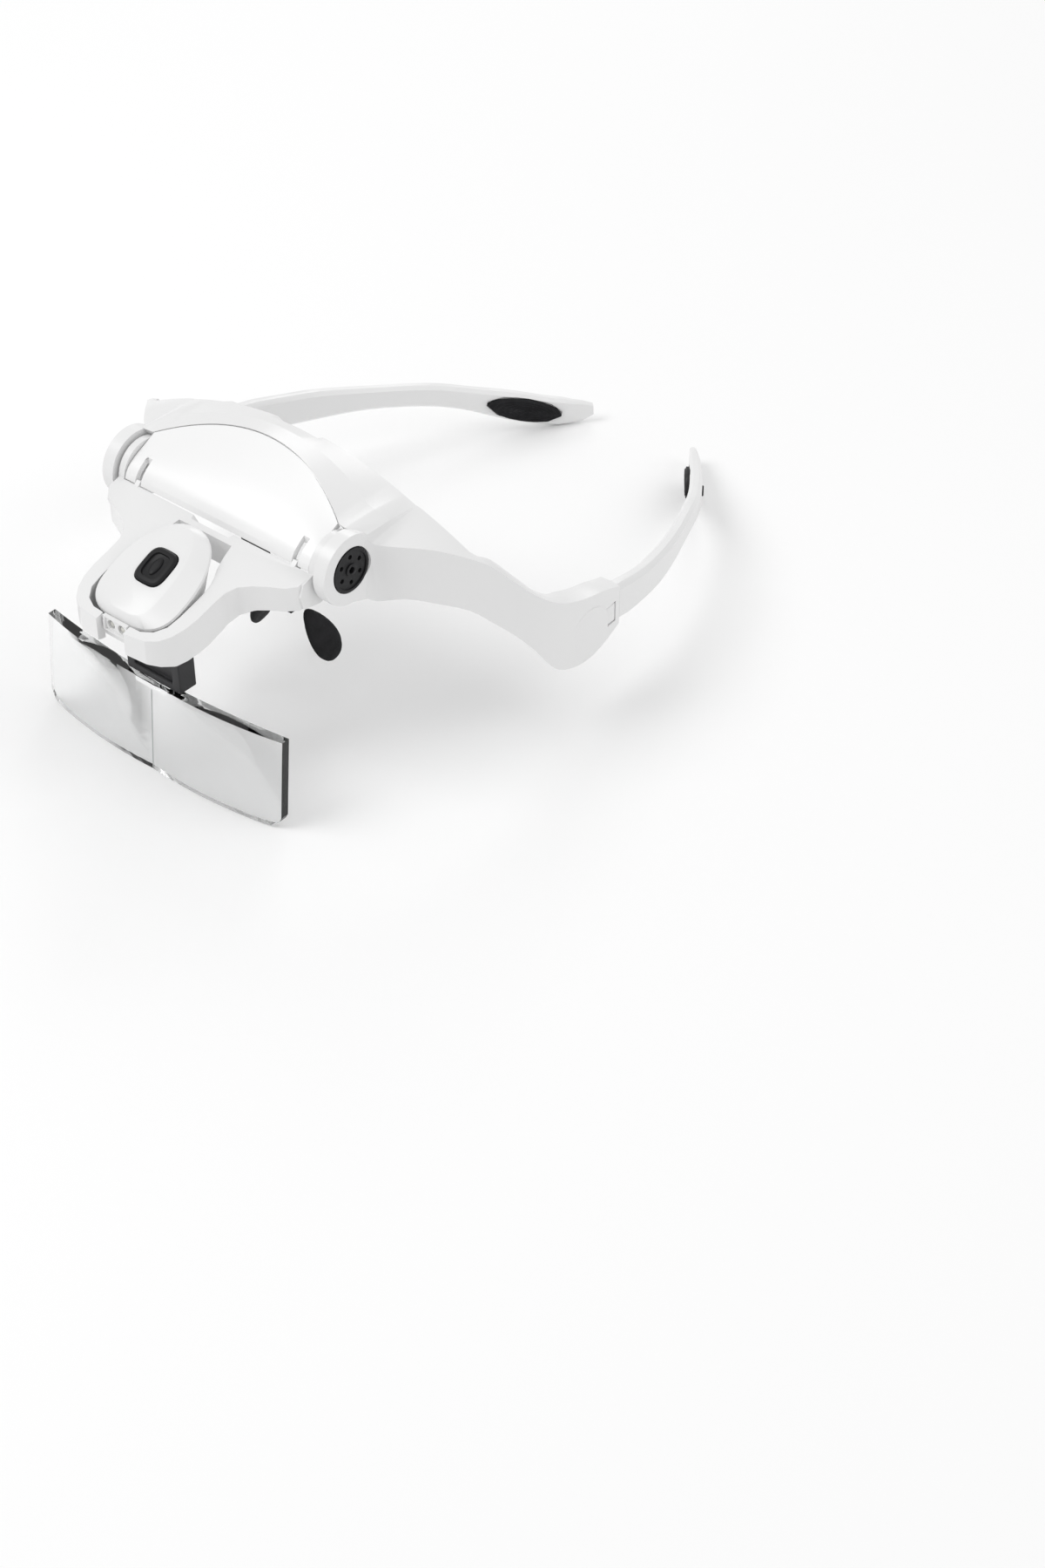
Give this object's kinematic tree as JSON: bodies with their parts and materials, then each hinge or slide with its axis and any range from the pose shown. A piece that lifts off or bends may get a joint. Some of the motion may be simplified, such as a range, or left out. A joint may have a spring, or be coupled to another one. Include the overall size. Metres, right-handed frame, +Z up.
{
  "type": "head visor magnifier",
  "caption": "White brow frame with temple arms, a flip-up bracket carrying a tilting lamp with a push button, and a clear wide lens in a pull-off clip.",
  "frame": {"origin": "centre of the visor's outline, on the level the lens edge and arm ends rest on", "axes": "+Z up, -Y the way the wearer looks, +X the wearer's left"},
  "size_m": [0.1558, 0.2326, 0.0835],
  "materials": {
    "white_shell": "smooth glossy white ABS",
    "white_plate": "polished white ABS",
    "black_plastic": "satin black plastic",
    "clip_grey": "fine satin dark grey plastic",
    "black_rubber": "soft matt black rubber",
    "clear_acrylic": "optically clear polished acrylic",
    "led_lens": "clear LED epoxy",
    "steel": "plain turned steel",
    "board_green": "green circuit board"
  },
  "bodies": {
    "frame": {"head_frame": "white_shell", "face_plate": "white_plate", "hub_cap_left": "black_plastic", "hub_cap_right": "black_plastic", "pivot_screw_left": "steel", "pivot_screw_right": "steel", "friction_washer_left": "black_plastic", "friction_washer_right": "black_plastic", "nose_bridge": "black_plastic", "nose_pad_left": "black_rubber", "nose_pad_right": "black_rubber"},
    "bracket": {"lens_bracket": "white_shell", "lamp_pin_left": "steel", "lamp_pin_right": "steel"},
    "lamp": {"lamp_upper_shell": "white_shell", "lamp_lower_shell": "white_shell", "battery_cover": "white_shell", "circuit_board": "board_green", "tact_switch": "black_plastic", "coin_cell_1": "steel", "coin_cell_2": "steel", "led_left": "led_lens", "led_right": "led_lens"},
    "button": {"switch_button": "black_plastic"},
    "lens": {"lens_clip": "clip_grey", "magnifier_lens": "clear_acrylic"},
    "arm_left": {"temple_arm_left": "white_shell", "arm_cushion_left": "black_rubber", "arm_plug_left": "black_rubber"},
    "arm_right": {"temple_arm_right": "white_shell", "arm_cushion_right": "black_rubber", "arm_plug_right": "black_rubber"},
    "latch_left": {"latch_tab_left": "white_shell"},
    "latch_right": {"latch_tab_right": "white_shell"}
  },
  "joints": [
    {"name": "bracket_flip", "type": "hinge", "parent": "frame", "child": "bracket", "pos_m": [0, -0.067, 0.0656], "axis": [-1, 0, 0], "range_deg": [0, 45]},
    {"name": "lamp_tilt", "type": "hinge", "parent": "bracket", "child": "lamp", "pos_m": [0, -0.1, 0.0566], "axis": [-1, 0, 0], "range_deg": [0, 7]},
    {"name": "button_press", "type": "slide", "parent": "lamp", "child": "button", "axis": [0, 0.4226, -0.9063], "range_m": [0, 0.0005], "stiffness_N_per_m": 250, "springref_m": -0.0005},
    {"name": "lens_pull", "type": "slide", "parent": "bracket", "child": "lens", "axis": [0, 0, -1], "range_m": [0, 0.008]},
    {"name": "arm_pull_left", "type": "slide", "parent": "frame", "child": "arm_left", "axis": [0, 1, 0], "range_m": [0, 0.014]},
    {"name": "arm_pull_right", "type": "slide", "parent": "frame", "child": "arm_right", "axis": [0, 1, 0], "range_m": [0, 0.014]},
    {"name": "latch_press_left", "type": "slide", "parent": "frame", "child": "latch_left", "axis": [-1, 0, 0], "range_m": [0, 0.0008], "stiffness_N_per_m": 250, "springref_m": -0.0008},
    {"name": "latch_press_right", "type": "slide", "parent": "frame", "child": "latch_right", "axis": [1, 0, 0], "range_m": [0, 0.0008], "stiffness_N_per_m": 250, "springref_m": -0.0008}
  ]
}
